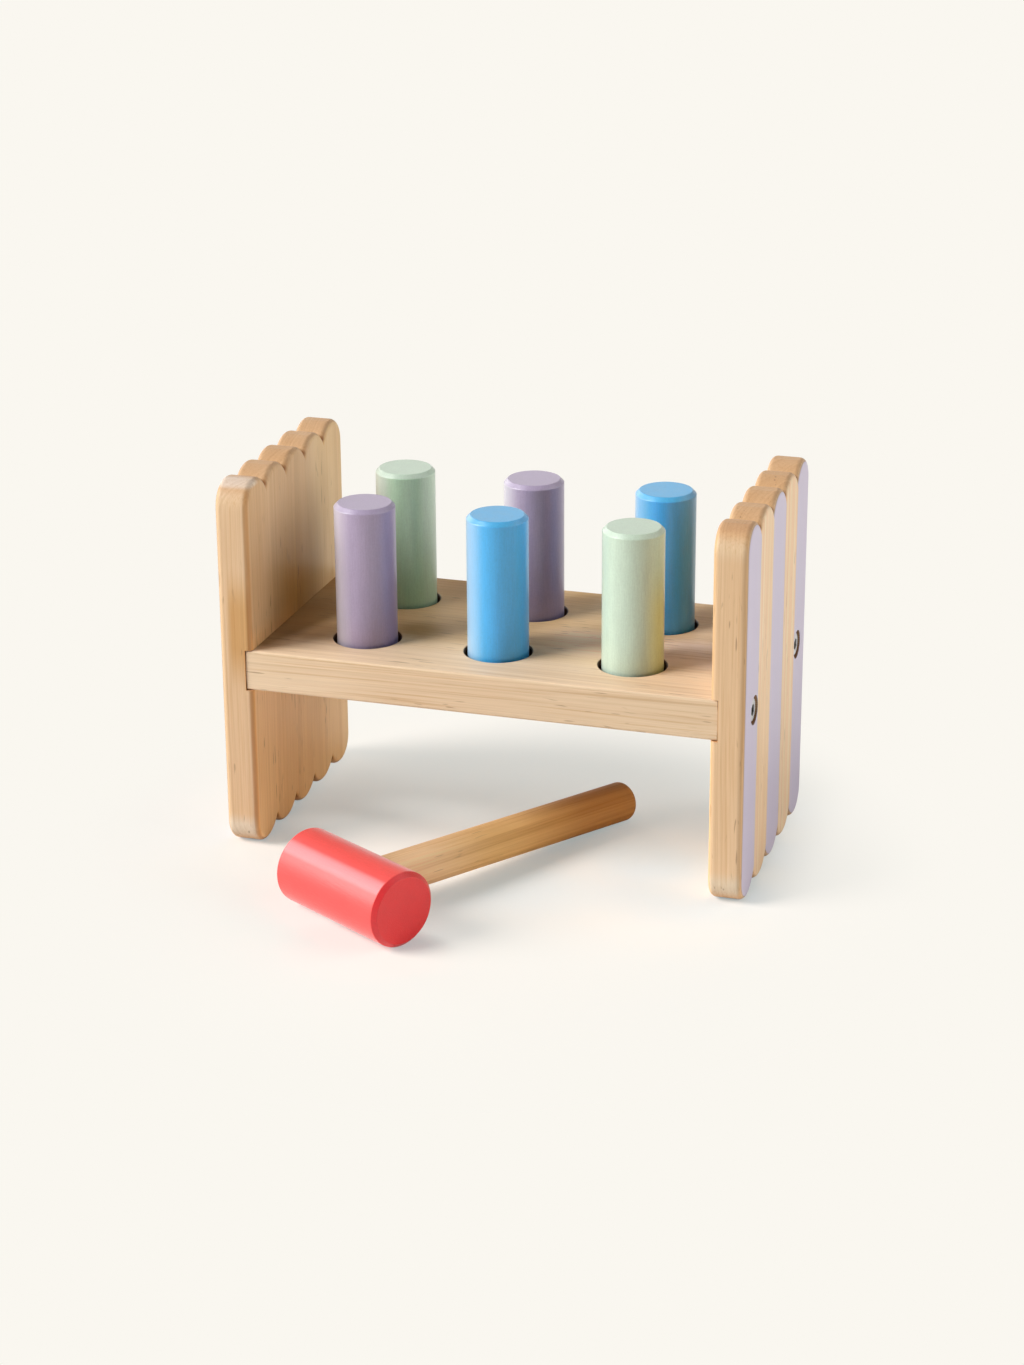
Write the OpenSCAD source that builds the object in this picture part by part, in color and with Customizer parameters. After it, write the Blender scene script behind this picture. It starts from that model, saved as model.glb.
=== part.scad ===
// Peg pounding bench with a mallet.
// Two scalloped end panels carry a peg board at half their height, so the bench can be
// turned over when every peg has been driven down. Six painted pegs slide through round
// holes, each held by the friction of a rubber ring set in a groove inside its hole.
// The frame stands on z = 0 with +Z up. The bench lies along X and its front faces -Y.
// The origin is the middle of the floor area that bench and mallet cover together.

/* [End panels] */
// Length of the bench over both end panels
bench_length = 240; // [210:1:290]
// Depth of the end panels from front to back
panel_depth = 120; // [112:1:140]
// Height of the end panels from the feet to the lobe tops
panel_height = 172; // [160:1:200]
// Thickness of the end panels
panel_thickness = 15.4; // [14:0.1:20]
// Rounding of every outer edge of the end panels
panel_edge_radius = 2.8; // [1:0.1:3]
// Radius of the lobes along the top and bottom edges
lobe_radius = 15.5; // [15.5:0.5:20]
// Width of the flat that is sanded on each lobe, so that the bench stands without rocking
lobe_flat = 5; // [3:0.5:6]
// Depth of the groove that houses the peg board
groove_depth = 3.5; // [2:0.1:5]
// Play of the peg board above, below and at the end inside its groove
groove_play = 0.2; // [0.1:0.05:0.3]

/* [Peg board] */
// Thickness of the peg board
board_thickness = 18.6; // [16:0.1:24]
// Setback of the board's long edges from the panels' front and back
board_setback = 0.6; // [0.2:0.1:3]
// Rounding of the board's long edges
board_edge_radius = 1.2; // [0.5:0.1:2]
// Distance from the middle of the outer pegs to the end panels
peg_margin = 42.9; // [40:0.1:46]
// Distance between the front row and the back row
row_pitch = 55; // [50:0.5:58]
// Width of the small chamfer round each hole
hole_chamfer = 0.5; // [0.2:0.1:1]

/* [Pegs and rings] */
// Diameter of a painted peg
peg_diameter = 27.4; // [24:0.1:28]
// Height of a raised peg above the board
peg_rise = 63.7; // [50:0.1:66]
// Bevel on a peg's two rims
peg_bevel = 1.8; // [1:0.1:3]
// Rounding of the two corners of that bevel
peg_bevel_softness = 0.6; // [0.2:0.1:1]
// Open gap between a peg and the wall of its hole
hole_gap = 1.5; // [1:0.1:1.8]
// Height of the rubber ring
ring_height = 4; // [3:0.5:5]
// Depth of the groove that holds the rubber ring, behind the wall of the hole
ring_groove_depth = 2; // [1.5:0.1:2.5]
// Clearance between a peg and its ring
ring_clearance = 0.04; // [0.02:0.01:0.1]
// Play of the ring inside its groove
ring_play = 0.05; // [0.02:0.01:0.1]

/* [Screws] */
// Distance of the screws from the middle of the panel, to the front and to the back
screw_offset = 42.5; // [40:0.5:43]
// Diameter of the recess that hides a screw head
recess_diameter = 13.2; // [11.6:0.1:14]
// Depth at which the screw head lies below the panel's face
head_sink = 0.7; // [0.5:0.1:1.5]
// Diameter of a screw head
screw_head_diameter = 10.4; // [9:0.1:11]
// Height of a screw head
screw_head_height = 3; // [2.5:0.1:3.5]
// Rounding of the screw head's rim
screw_head_edge = 0.6; // [0.2:0.1:0.8]
// Width of the hexagon socket across its flats
socket_width = 5; // [3:0.5:5]
// Depth of the hexagon socket
socket_depth = 2; // [1:0.1:2.2]
// Diameter of the screw's shank
shank_diameter = 5; // [4:0.1:6]
// Length of the screw below its head
shank_length = 36; // [30:0.5:38]
// Length of the screw's point
point_length = 5; // [3:0.5:7]
// Clearance round the shank
shank_clearance = 0.05; // [0.02:0.01:0.1]

/* [Mallet] */
// Diameter of the mallet head
head_diameter = 33.8; // [30:0.1:40]
// Length of the mallet head
head_length = 66.6; // [60:0.1:74]
// Bevel on the head's two rims
head_bevel = 2; // [1:0.1:4]
// Rounding of the two corners of that bevel
head_bevel_softness = 0.5; // [0.2:0.1:1]
// Diameter of the handle
handle_diameter = 18.3; // [15:0.1:20]
// Length of the handle from the middle of the head to its tip
handle_length = 164; // [150:1:175]
// Rounding of the handle's tip
handle_tip_radius = 3.4; // [2:0.1:5]
// Depth of the handle's seat below the head's surface
handle_seat = 24; // [18:0.5:26]
// Play of the handle in its seat
seat_play = 0.05; // [0.02:0.01:0.1]
// Distance of the head's middle to the left of the bench's middle
mallet_left = 36.2; // [30:0.1:45]
// Distance of the head's middle in front of the bench's middle
mallet_ahead = 121.2; // [116:0.1:140]
// Turn of the mallet about the upright axis, in degrees
mallet_turn = 30; // [24:1:34]

/* [Hidden] */
$fn = 96;
// Amount by which a cut runs past the face it opens
overrun = 1;

bare_wood = "#DDB78C";
lilac_paint = "#B9A8C4";
green_paint = "#B7CDB6";
blue_paint = "#5FA9DC";
coral_paint = "#F0615C";
handle_wood = "#B98248";
grip_rubber = "#2B2A29";
screw_steel = "#C4C4C2";

// Five lobes share the depth of a panel
lobe_count = 5;
lobe_half = panel_depth / lobe_count / 2;
lobe_places = [for (i = [0 : lobe_count - 1]) (2 * i + 1) * lobe_half - panel_depth / 2];
// Height that sanding takes off each lobe to give its flat
lobe_sanded = lobe_radius - sqrt(lobe_radius * lobe_radius - lobe_flat * lobe_flat / 4);

// The board lies at half the height of the panels
board_middle = panel_height / 2;
board_bottom = board_middle - board_thickness / 2;
board_length = bench_length - 2 * (panel_thickness - groove_depth + groove_play);
board_depth = panel_depth - 2 * board_setback;
// The three pegs of a row share the length that the two margins leave
peg_pitch = bench_length / 2 - panel_thickness - peg_margin;

peg_radius = peg_diameter / 2;
// A raised peg ends level with the underside of the board, so it is as long as both together
peg_length = peg_rise + board_thickness;
hole_radius = peg_radius + hole_gap;
ring_groove_radius = hole_radius + ring_groove_depth;

// The head's underside sits on the bottom of the recess
recess_depth = head_sink + screw_head_height;
shank_radius = shank_diameter / 2;

head_radius = head_diameter / 2;
handle_radius = handle_diameter / 2;
// The head lies on the floor and the handle dips until the rounding of its tip touches the floor too
tip_reach = handle_length - handle_tip_radius;
tip_rise = handle_radius - handle_tip_radius;
handle_dip = asin((head_radius - handle_tip_radius) / sqrt(tip_reach * tip_reach + tip_rise * tip_rise))
    - atan2(tip_rise, tip_reach);

// The bench moves back so that bench and mallet together lie evenly about the origin
mallet_reach = mallet_ahead
    + sin(mallet_turn) * (head_length / 2 - head_bevel - bevel_run(head_bevel_softness))
    + cos(mallet_turn) * (head_radius - head_bevel_softness)
    + head_bevel_softness;
bench_shift = (mallet_reach - panel_depth / 2) / 2;

// Length that the rounding of a bevel's corner takes from each of the two sides that meet there
function bevel_run(soft) = soft * tan(22.5);

// A round bar along Z with both rims bevelled and the corners of the bevels rounded
module bevelled_bar(radius, height, bevel, soft) {
    run = bevel_run(soft);
    slant = run * sin(45);
    half = height / 2;
    rotate_extrude() {
        polygon([
            [0, -half], [radius - bevel - run, -half],
            [radius - bevel + slant, slant - half], [radius - slant, bevel - slant - half],
            [radius, bevel + run - half], [radius, half - bevel - run],
            [radius - slant, half - bevel + slant], [radius - bevel + slant, half - slant],
            [radius - bevel - run, half], [0, half]
        ]);
        for (side = [-1, 1]) {
            translate([radius - soft, side * (half - bevel - run)]) circle(soft);
            translate([radius - bevel - run, side * (half - soft)]) circle(soft);
        }
    }
}

// A round bar along Z with both rims rounded; its middle is at the origin
module rounded_bar(radius, height, rim) {
    rotate_extrude() {
        translate([0, -height / 2]) square([radius - rim, height]);
        translate([0, rim - height / 2]) square([radius, height - 2 * rim]);
        for (side = [-1, 1]) translate([radius - rim, side * (height / 2 - rim)]) circle(rim);
    }
}

// An outline with four rounded corners; its middle is at the origin
module rounded_outline(width, depth, corner) {
    square([width - 2 * corner, depth], center = true);
    square([width, depth - 2 * corner], center = true);
    for (x = [-1, 1], y = [-1, 1])
        translate([x * (width / 2 - corner), y * (depth / 2 - corner)]) circle(corner);
}

// Half a lobe: the part of a rounded disc that lies below its middle, on one side of it
module half_lobe(radius, side) {
    intersection() {
        rotate([0, 90, 0]) rounded_bar(radius, panel_thickness, panel_edge_radius);
        translate([-panel_thickness, side > 0 ? 0 : -2 * radius, -2 * radius])
            cube([2 * panel_thickness, 2 * radius, 2 * radius]);
    }
}

// The row of lobes along the bottom edge; the two outer halves take the smaller corner radius
module lobe_row() {
    for (place = lobe_places, side = [-1, 1]) {
        outer = side * place > panel_depth / 2 - 2 * lobe_half;
        radius = outer ? lobe_half : lobe_radius;
        translate([0, place, radius - lobe_sanded]) half_lobe(radius, side);
    }
}

// A panel's body before it is grooved and drilled, standing on z = 0 with its middle on the Z axis
module panel_blank() {
    straight_from = lobe_half - lobe_sanded;
    intersection() {
        union() {
            translate([0, 0, straight_from])
                linear_extrude(panel_height - 2 * straight_from)
                    rounded_outline(panel_thickness, panel_depth, panel_edge_radius);
            lobe_row();
            translate([0, 0, panel_height]) mirror([0, 0, 1]) lobe_row();
        }
        translate([-panel_thickness, -panel_depth, 0])
            cube([2 * panel_thickness, 2 * panel_depth, panel_height]);
    }
}

// An end panel with its groove facing -X and its screw recesses facing +X
module end_panel() {
    difference() {
        translate([bench_length / 2 - panel_thickness / 2, 0, 0]) panel_blank();
        translate([bench_length / 2 - panel_thickness - overrun, -panel_depth, board_bottom - groove_play])
            cube([groove_depth + overrun, 2 * panel_depth, board_thickness + 2 * groove_play]);
        for (side = [-1, 1]) translate([bench_length / 2, side * screw_offset, board_middle])
            rotate([0, -90, 0]) {
                translate([0, 0, -overrun])
                    cylinder(r = recess_diameter / 2, h = recess_depth + overrun);
                cylinder(r = shank_radius + shank_clearance, h = panel_thickness + overrun);
            }
    }
}

module left_end_panel() {
    color(bare_wood) translate([0, bench_shift, 0]) mirror([1, 0, 0]) end_panel();
}

module right_end_panel() {
    color(bare_wood) translate([0, bench_shift, 0]) end_panel();
}

// The hole of one peg with its chamfers and its ring groove, centred on the board's middle
module peg_hole() {
    cylinder(r = hole_radius, h = board_thickness + 2 * overrun, center = true);
    cylinder(r = ring_groove_radius, h = ring_height + 2 * ring_play, center = true);
    for (side = [0, 1]) mirror([0, 0, side])
        translate([0, 0, board_thickness / 2 - hole_chamfer])
            cylinder(r1 = hole_radius, r2 = hole_radius + hole_chamfer + overrun, h = hole_chamfer + overrun);
}

module peg_board() {
    screw_end = bench_length / 2 - recess_depth - shank_length - shank_clearance;
    color(bare_wood) translate([0, bench_shift, board_middle]) difference() {
        rotate([90, 0, 90]) linear_extrude(board_length, center = true)
            rounded_outline(board_depth, board_thickness, board_edge_radius);
        for (column = [-1 : 1], row = [-1, 1])
            translate([column * peg_pitch, row * row_pitch / 2, 0]) peg_hole();
        for (end = [0, 1], side = [-1, 1]) mirror([end, 0, 0])
            translate([screw_end, side * screw_offset, 0]) rotate([0, 90, 0])
                cylinder(r = shank_radius + shank_clearance, h = bench_length / 2 - screw_end);
    }
}

// One peg; column is -1, 0 or 1 from left to right, row is -1 at the front and 1 at the back
module peg(column, row, paint) {
    color(paint)
        translate([column * peg_pitch, bench_shift + row * row_pitch / 2, board_bottom + peg_length / 2])
            bevelled_bar(peg_radius, peg_length, peg_bevel, peg_bevel_softness);
}

module peg_front_left() { peg(-1, -1, lilac_paint); }
module peg_front_middle() { peg(0, -1, blue_paint); }
module peg_front_right() { peg(1, -1, green_paint); }
module peg_back_left() { peg(-1, 1, green_paint); }
module peg_back_middle() { peg(0, 1, lilac_paint); }
module peg_back_right() { peg(1, 1, blue_paint); }

// The rubber ring of one hole, lying in the groove at half the board's thickness
module grip_ring(column, row) {
    color(grip_rubber)
        translate([column * peg_pitch, bench_shift + row * row_pitch / 2, board_middle]) difference() {
            cylinder(r = ring_groove_radius - ring_play, h = ring_height, center = true);
            cylinder(r = peg_radius + ring_clearance, h = ring_height + 2 * overrun, center = true);
        }
}

module grip_ring_front_left() { grip_ring(-1, -1); }
module grip_ring_front_middle() { grip_ring(0, -1); }
module grip_ring_front_right() { grip_ring(1, -1); }
module grip_ring_back_left() { grip_ring(-1, 1); }
module grip_ring_back_middle() { grip_ring(0, 1); }
module grip_ring_back_right() { grip_ring(1, 1); }

// A screw along X; end is 0 for the right panel and 1 for the left, side is -1 at the front
module screw(end, side) {
    color(screw_steel)
        translate([0, bench_shift, 0]) mirror([end, 0, 0])
            translate([bench_length / 2 - head_sink, side * screw_offset, board_middle]) rotate([0, -90, 0])
                difference() {
                    union() {
                        translate([0, 0, screw_head_height / 2])
                            rounded_bar(screw_head_diameter / 2, screw_head_height, screw_head_edge);
                        translate([0, 0, socket_depth])
                            cylinder(r = shank_radius,
                                h = screw_head_height - socket_depth + shank_length - point_length);
                        translate([0, 0, screw_head_height + shank_length - point_length])
                            cylinder(r1 = shank_radius, r2 = 0, h = point_length);
                    }
                    translate([0, 0, -overrun])
                        cylinder(r = socket_width / 2 / cos(30), h = socket_depth + overrun, $fn = 6);
                }
}

module screw_left_front() { screw(1, -1); }
module screw_left_back() { screw(1, 1); }
module screw_right_front() { screw(0, -1); }
module screw_right_back() { screw(0, 1); }

// Puts the mallet's own frame on the floor: there the head lies along X and the handle points to +Y
module mallet_place() {
    translate([-mallet_left, bench_shift - mallet_ahead, head_radius])
        rotate([0, 0, -mallet_turn]) rotate([-handle_dip, 0, 0]) children();
}

module mallet_head() {
    color(coral_paint) mallet_place() difference() {
        rotate([0, 90, 0]) bevelled_bar(head_radius, head_length, head_bevel, head_bevel_softness);
        translate([0, head_radius - handle_seat - seat_play, 0]) rotate([-90, 0, 0])
            cylinder(r = handle_radius + seat_play, h = handle_seat + overrun);
    }
}

module mallet_handle() {
    shaft_length = handle_length - head_radius + handle_seat;
    color(handle_wood) mallet_place()
        translate([0, handle_length - shaft_length / 2, 0]) rotate([-90, 0, 0])
            union() {
                rounded_bar(handle_radius, shaft_length, handle_tip_radius);
                translate([0, 0, -shaft_length / 2])
                    cylinder(r = handle_radius, h = shaft_length / 2);
            }
}

left_end_panel();
right_end_panel();
peg_board();
peg_front_left();
peg_front_middle();
peg_front_right();
peg_back_left();
peg_back_middle();
peg_back_right();
grip_ring_front_left();
grip_ring_front_middle();
grip_ring_front_right();
grip_ring_back_left();
grip_ring_back_middle();
grip_ring_back_right();
screw_left_front();
screw_left_back();
screw_right_front();
screw_right_back();
mallet_head();
mallet_handle();
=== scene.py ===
# %% [markdown]
# # A wooden peg pounding bench
# Two scalloped end panels carry a board with six painted pegs, and a small mallet lies in front.
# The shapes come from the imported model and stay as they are. This lesson dresses them: it sets the
# camera, then builds one finish after the other from nodes, so that wood is solid wood all the
# way through and paint is paint over wood, and last it lays the floor and lights the bench.

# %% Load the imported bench
import math

import bpy
from mathutils import Matrix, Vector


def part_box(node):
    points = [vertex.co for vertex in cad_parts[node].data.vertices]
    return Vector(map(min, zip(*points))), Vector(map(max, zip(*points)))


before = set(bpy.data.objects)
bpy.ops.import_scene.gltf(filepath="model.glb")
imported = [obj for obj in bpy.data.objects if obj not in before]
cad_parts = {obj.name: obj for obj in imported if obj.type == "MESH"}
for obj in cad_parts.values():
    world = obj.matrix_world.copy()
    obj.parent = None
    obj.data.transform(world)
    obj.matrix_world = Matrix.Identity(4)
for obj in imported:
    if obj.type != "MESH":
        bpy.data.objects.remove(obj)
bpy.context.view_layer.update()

print("pieces:", len(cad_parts))

# %% [markdown]
# ## The camera
# The bench is seen from its right front corner and from above, through a long lens that keeps
# the upright edges nearly parallel. The turn, the tilt and the distance were measured on the
# piece's own edges. They go in as three turns, one after the other, which is easier to read
# than one matrix. The focal length was measured in picture points, and the sensor's height
# turns it into millimetres.

# %% Place the camera
TURN = math.radians(17.489)
TILT = math.radians(21.028)
ROLL = math.radians(-0.372)
CAMERA_PLACE = (0.383774, -1.180011, 0.563757)
FOCAL_POINTS = 3023.689
FRAME_HEIGHT = 1365
SENSOR_HEIGHT = 36.0
FAR_LIMIT = 100.0

camera_data = bpy.data.cameras.new("camera")
camera_data.sensor_fit = "VERTICAL"
camera_data.sensor_height = SENSOR_HEIGHT
camera_data.lens = FOCAL_POINTS / FRAME_HEIGHT * SENSOR_HEIGHT
camera_data.clip_end = FAR_LIMIT
camera = bpy.data.objects.new("camera", camera_data)
bpy.context.scene.collection.objects.link(camera)
camera.matrix_world = (
    Matrix.Translation(CAMERA_PLACE)
    @ Matrix.Rotation(TURN, 4, "Z")
    @ Matrix.Rotation(math.pi / 2 - TILT, 4, "X")
    @ Matrix.Rotation(ROLL, 4, "Z")
)
bpy.context.scene.camera = camera
bpy.context.scene.view_settings.view_transform = "Standard"
print("lens:", round(camera_data.lens, 2), "mm")

# %% [markdown]
# ## Helpers for nodes
# Every finish below is a small network of nodes. One helper adds a node, sets its switches and
# either fills a socket with a value or runs a wire into it. The others spell out the sums and
# blends that come up again and again, so that each finish reads like a recipe.

# %% Add and blend nodes
def put(tree, kind, inputs=None, **switches):
    """Adds one node; inputs maps a socket's name or number to a value or a node's output."""
    made = tree.nodes.new("ShaderNode" + kind)
    for name, value in switches.items():
        setattr(made, name, value)
    for key, value in (inputs or {}).items():
        if isinstance(value, bpy.types.NodeSocket):
            tree.links.new(value, made.inputs[key])
        else:
            made.inputs[key].default_value = value
    return made


def sum_of(tree, operation, first, second=0.0, third=0.0):
    """One step of arithmetic on single values."""
    inputs = {0: first, 1: second, 2: third}
    return put(tree, "Math", inputs, operation=operation).outputs[0]


def product(tree, *values):
    """Several single values multiplied together."""
    total = values[0]
    for value in values[1:]:
        total = sum_of(tree, "MULTIPLY", total, value)
    return total


def span(tree, value, low, high, to_low=0.0, to_high=1.0):
    """Eases a value between low and high into a new range, and holds it there outside."""
    inputs = {"Value": value, "From Min": low, "From Max": high, "To Min": to_low,
              "To Max": to_high}
    made = put(tree, "MapRange", inputs, interpolation_type="SMOOTHSTEP")
    return made.outputs["Result"]


def blend_colours(tree, amount, first, second, blend="MIX"):
    """Lays the second colour over the first by the amount."""
    inputs = {0: amount, 6: first, 7: second}
    return put(tree, "Mix", inputs, data_type="RGBA", blend_type=blend).outputs[2]


def toned(tree, colour, amount, tone):
    """Multiplies a colour by a tone, by the amount."""
    return blend_colours(tree, amount, colour, tone, "MULTIPLY")


def rgb(red, green, blue):
    """A colour in the linear values that nodes work in, or a tone that multiplies one."""
    return (red, green, blue, 1.0)


# %% [markdown]
# ## Places and facings
# A finish changes from place to place, so it has to know where a point lies on the bench and
# which way it faces. Both come from the piece's own coordinates, so a pattern stays on its piece
# when the piece moves. The helpers below give the distance from a spot or from an axis, and how
# squarely a face looks towards a side.

# %% Measure places and facings
def own_place(tree):
    """Where a point lies on the bench, in metres."""
    return put(tree, "TexCoord").outputs["Object"]


def own_facing(tree):
    """Which way the surface faces there."""
    return put(tree, "TexCoord").outputs["Normal"]


def parts_of(tree, vector):
    """The three parts of a place or a facing."""
    return put(tree, "SeparateXYZ", {0: vector}).outputs


def facing_towards(tree, side):
    """1 where the surface looks straight towards a side, 0 square to it, and below 0 away."""
    inputs = {0: own_facing(tree), 1: side}
    return put(tree, "VectorMath", inputs, operation="DOT_PRODUCT").outputs["Value"]


def away_from(tree, place, middle, reach):
    """The distance from a middle, in reaches: 0 there and 1 one reach away on each axis."""
    apart = put(tree, "VectorMath", {0: place, 1: middle}, operation="SUBTRACT").outputs[0]
    apart = put(tree, "VectorMath", {0: apart, 1: reach}, operation="DIVIDE").outputs[0]
    return put(tree, "VectorMath", {0: apart}, operation="LENGTH").outputs["Value"]


def off_by(tree, value, middle):
    """How far a value is from a middle, on either side."""
    return sum_of(tree, "ABSOLUTE", sum_of(tree, "SUBTRACT", value, middle))


def from_axis(tree, first, second):
    """The distance from an axis, from the two distances square to it."""
    squares = sum_of(tree, "MULTIPLY_ADD", first, first, product(tree, second, second))
    return sum_of(tree, "SQRT", squares)


# %% [markdown]
# ## Zones and patches
# Real wood and paint are never one even colour: they have paler and darker patches. A patch is
# written below as a tone and the zones that it lies in. A zone names a measure and the two values
# between which it eases in. It eases out where it ends with FALLING, and from one strength to
# another where it ends with two numbers. A patch is as strong as the product of its zones, and a
# zone that comes up again on a piece is made only once.

# %% Lay tones on zones
FALLING = (1.0, 0.0)


def amount_in(tree, measures, zones):
    """How far a point lies inside all the zones, from 0 to 1."""
    for zone in zones:
        if zone not in measures:
            measures[zone] = span(tree, measures[zone[0]], *zone[1:])
    return product(tree, *(measures[zone] for zone in zones))


def with_patches(tree, colour, measures, patches):
    """Multiplies a colour by each patch's tone, inside that patch's zones."""
    for tone, zones in patches.values():
        colour = toned(tree, colour, amount_in(tree, measures, zones), tone)
    return colour


# %% [markdown]
# ## Where a point lies in the tree
# Real timber is cut out of a trunk, so its pattern runs through the piece: a face shows long
# streaks and an end shows rings. To get that, every wood finish works on a place inside an
# imagined trunk, in millimetres, with the grain along its third axis. The Mapping node, set to
# Texture, turns the piece's own coordinates into that frame.

# %% The trunk's own frame
GRAIN_UP = (0.0, 0.0, 0.0)
GRAIN_ALONG = (0.0, math.pi / 2, 0.0)
MALLET_TURN = math.radians(30.0)
HANDLE_FALL = 0.04829
HANDLE_RUN = 0.99883
HANDLE_DIP = math.atan2(HANDLE_FALL, HANDLE_RUN)
HEAD_GRAIN = (0.0, math.pi / 2, -MALLET_TURN)
HANDLE_GRAIN = (-math.pi / 2 - HANDLE_DIP, 0.0, -MALLET_TURN)
MILLIMETRES = 1000.0


def trunk_place(tree, heart, turn):
    """A place in the trunk, in millimetres from its heart, its grain along the third axis."""
    inputs = {"Vector": own_place(tree), "Location": heart, "Rotation": turn}
    turned = put(tree, "Mapping", inputs, vector_type="TEXTURE").outputs[0]
    inputs = {0: turned, "Scale": MILLIMETRES}
    return put(tree, "VectorMath", inputs, operation="SCALE").outputs[0]


def across_grain(tree, turn):
    """How squarely a face cuts the grain: 0 on a long face, 1 on an end."""
    inputs = {"Vector": own_facing(tree), "Rotation": turn}
    turned = put(tree, "Mapping", inputs, vector_type="TEXTURE").outputs[0]
    return sum_of(tree, "ABSOLUTE", parts_of(tree, turned)[2])


def cloud(tree, place, across, along, detail=2.0, roughness=0.5):
    """Soft random values about one half, of a size across the grain and along it."""
    size = (1 / across, 1 / across, 1 / along)
    scaled = put(tree, "VectorMath", {0: place, 1: size}, operation="MULTIPLY").outputs[0]
    inputs = {"Vector": scaled, "Scale": 1.0, "Detail": detail, "Roughness": roughness}
    return put(tree, "TexNoise", inputs, noise_dimensions="3D").outputs


# %% [markdown]
# ## The grain itself
# Pine has yearly rings, each pale with a darker late edge, that wander a little on their way up
# the trunk; fine fibres; and short dark dashes where resin canals are cut open. Each is one
# measure here. The rings come from the distance to the heart of the trunk, and the rest from
# noise that is drawn out along the grain. A row of noise gives its size across the grain and
# along it in millimetres, its detail and its roughness.

# %% Measure rings, fibres and dashes
GRAIN_NOISE = {
    "fibres": (0.45, 26.0, 3.0, 0.62),
    "specks": (1.1, 9.0, 0.0, 0.5),
    "clusters": (14.0, 40.0, 1.0, 0.5),
    "broad": (16.0, 110.0, 2.0, 0.5),
    "bands": (2.6, 400.0, 1.0, 0.5),
}
WANDER_NOISE = (34.0, 260.0, 1.0, 0.5)
LINE_NOISE = (1.0, 150.0, 2.0, 0.6)
RING_WANDER = 9.6
HALF = (0.5, 0.5, 0.5)
ACROSS_ONLY = (1.0, 1.0, 0.0)
LATE_POWER = 3.0
LATE_DROP = (0.93, 1.0)


def wandered(tree, place):
    """The place, pushed aside a few millimetres, so that rings and lines are never straight."""
    slow = cloud(tree, place, *WANDER_NOISE)["Color"]
    shift = put(tree, "VectorMath", {0: slow, 1: HALF}, operation="SUBTRACT").outputs[0]
    inputs = {0: shift, "Scale": RING_WANDER}
    shift = put(tree, "VectorMath", inputs, operation="SCALE").outputs[0]
    return put(tree, "VectorMath", {0: place, 1: shift}, operation="ADD").outputs[0]


def grain_of(tree, place, ring):
    """Rings, fibres, dashes and clouds, each from 0 to 1, at a place in the trunk."""
    grain = {name: cloud(tree, place, *row)[0] for name, row in GRAIN_NOISE.items()}
    moved = wandered(tree, place)
    grain["lines"] = cloud(tree, moved, *LINE_NOISE)[0]
    flat = put(tree, "VectorMath", {0: moved, 1: ACROSS_ONLY}, operation="MULTIPLY").outputs[0]
    away = put(tree, "VectorMath", {0: flat}, operation="LENGTH").outputs["Value"]
    year = sum_of(tree, "DIVIDE", away, ring)
    inputs = {"W": year, "Scale": 1.0, "Detail": 3.0}
    grain["years"] = put(tree, "TexNoise", inputs, noise_dimensions="1D").outputs[0]
    season = sum_of(tree, "FRACT", year)
    late = sum_of(tree, "POWER", season, LATE_POWER)
    grain["late"] = product(tree, late, span(tree, season, *LATE_DROP, *FALLING))
    grain["dashes"] = amount_in(tree, grain, (("specks", 0.70, 0.80), ("clusters", 0.46, 0.60)))
    return grain


# %% [markdown]
# ## Wood
# The panels and the board are clear-lacquered pine. Its colour swings between a pale and a
# deeper tone with the rings and fibres. An end soaks up more lacquer than a face, so it is
# darker. The lacquer is satin, and the fibres still show in it as a very low relief. A finish
# gets its own patches from a function that is handed to it, and lays them over the wood.

# %% Make a wood
NOISE_SWING = (0.3, 0.7)
YEARS_WEIGHT = 0.42
LATE_WEIGHT = 0.24
FIBRES_WEIGHT = 0.34
DASHES_WEIGHT = 0.55
LATE_HEIGHT = 0.5
WOOD_RELIEF = 0.00012
LACQUER = {"roughness": 0.42, "gloss": 0.28}


def empty_finish(name):
    """A new material without any nodes, and its node tree."""
    made = bpy.data.materials.new(name)
    made.use_nodes = True
    made.node_tree.nodes.clear()
    return made, made.node_tree


def wood_colour(tree, grain, ends, tones):
    """Pale and deep tones by ring and fibre, darker ends, and brown dashes."""
    fibres = span(tree, grain["fibres"], *NOISE_SWING)
    depth = product(tree, span(tree, grain["years"], 0.28, 0.72), YEARS_WEIGHT)
    depth = sum_of(tree, "MULTIPLY_ADD", grain["late"], LATE_WEIGHT, depth)
    depth = sum_of(tree, "MULTIPLY_ADD", fibres, FIBRES_WEIGHT, depth)
    face = blend_colours(tree, depth, tones["pale"], tones["deep"])
    face = toned(tree, face, span(tree, grain["broad"], *NOISE_SWING), tones["cast"])
    face = toned(tree, face, span(tree, grain["lines"], 0.50, 0.72), tones["line"])
    dark = product(tree, grain["dashes"], DASHES_WEIGHT)
    face = blend_colours(tree, dark, face, tones["dash"])
    return toned(tree, face, span(tree, ends, 0.25, 0.95), tones["end"])


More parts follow.
